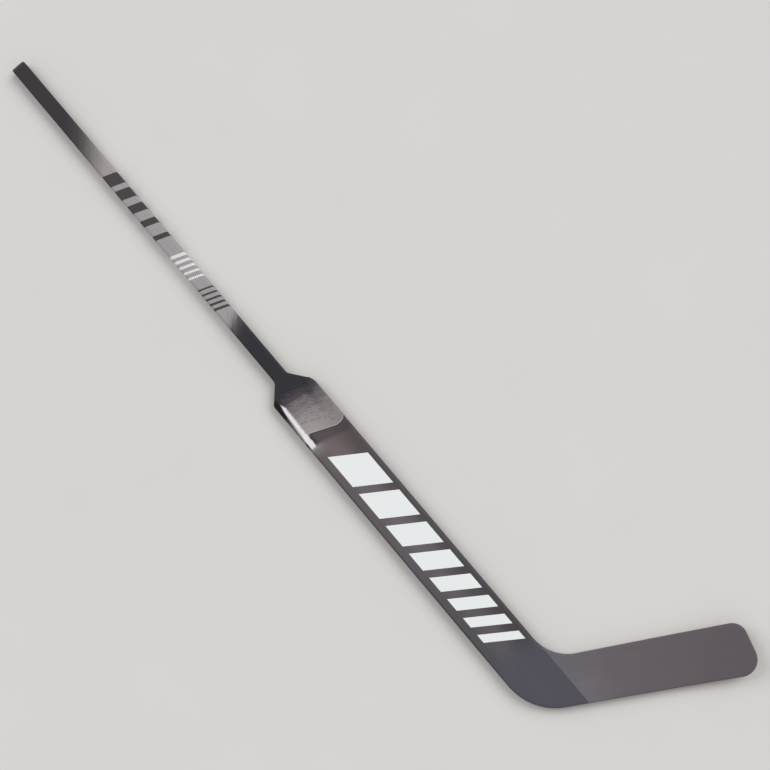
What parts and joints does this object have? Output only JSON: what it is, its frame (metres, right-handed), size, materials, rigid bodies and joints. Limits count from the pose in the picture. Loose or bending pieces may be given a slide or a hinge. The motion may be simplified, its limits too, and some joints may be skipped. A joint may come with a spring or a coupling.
{
  "type": "hockey goalie stick",
  "caption": "Ice hockey goalkeeper's stick: slim hollow shaft, wide foam-filled paddle with sloped shoulders, and a forward-curved blade set at a wide angle, for blocking and clearing pucks.",
  "frame": {"origin": "on the paddle's flat back face, on the shaft's centreline, where the shoulder reaches the paddle's full width", "axes": "+X down the stick from butt to heel, +Y towards the blade's side, +Z out of the face that meets the puck; the stick lies on its back"},
  "size_m": [1.7099, 0.3703, 0.0307],
  "materials": {
    "shaft_laminate": "satin",
    "plug_plastic": "matte",
    "paddle_laminate": "satin",
    "grip_film": "satin",
    "blade_laminate": "satin",
    "web_laminate": "satin",
    "core_foam": "matte",
    "core_wood": "matte"
  },
  "bodies": {
    "root": {"shaft_tube": "shaft_laminate", "end_plug": "plug_plastic", "paddle_front_shell": "paddle_laminate", "paddle_back_shell": "paddle_laminate", "shoulder_grip_panel": "grip_film", "paddle_core_heel_side": "core_foam", "paddle_core_toe_side": "core_foam", "heel_block": "core_wood", "blade_tenon": "core_wood", "blade_core_upper": "core_foam", "blade_core_lower": "core_foam", "blade_web": "web_laminate", "blade_front_shell": "blade_laminate", "blade_back_shell": "blade_laminate"}
  },
  "joints": []
}
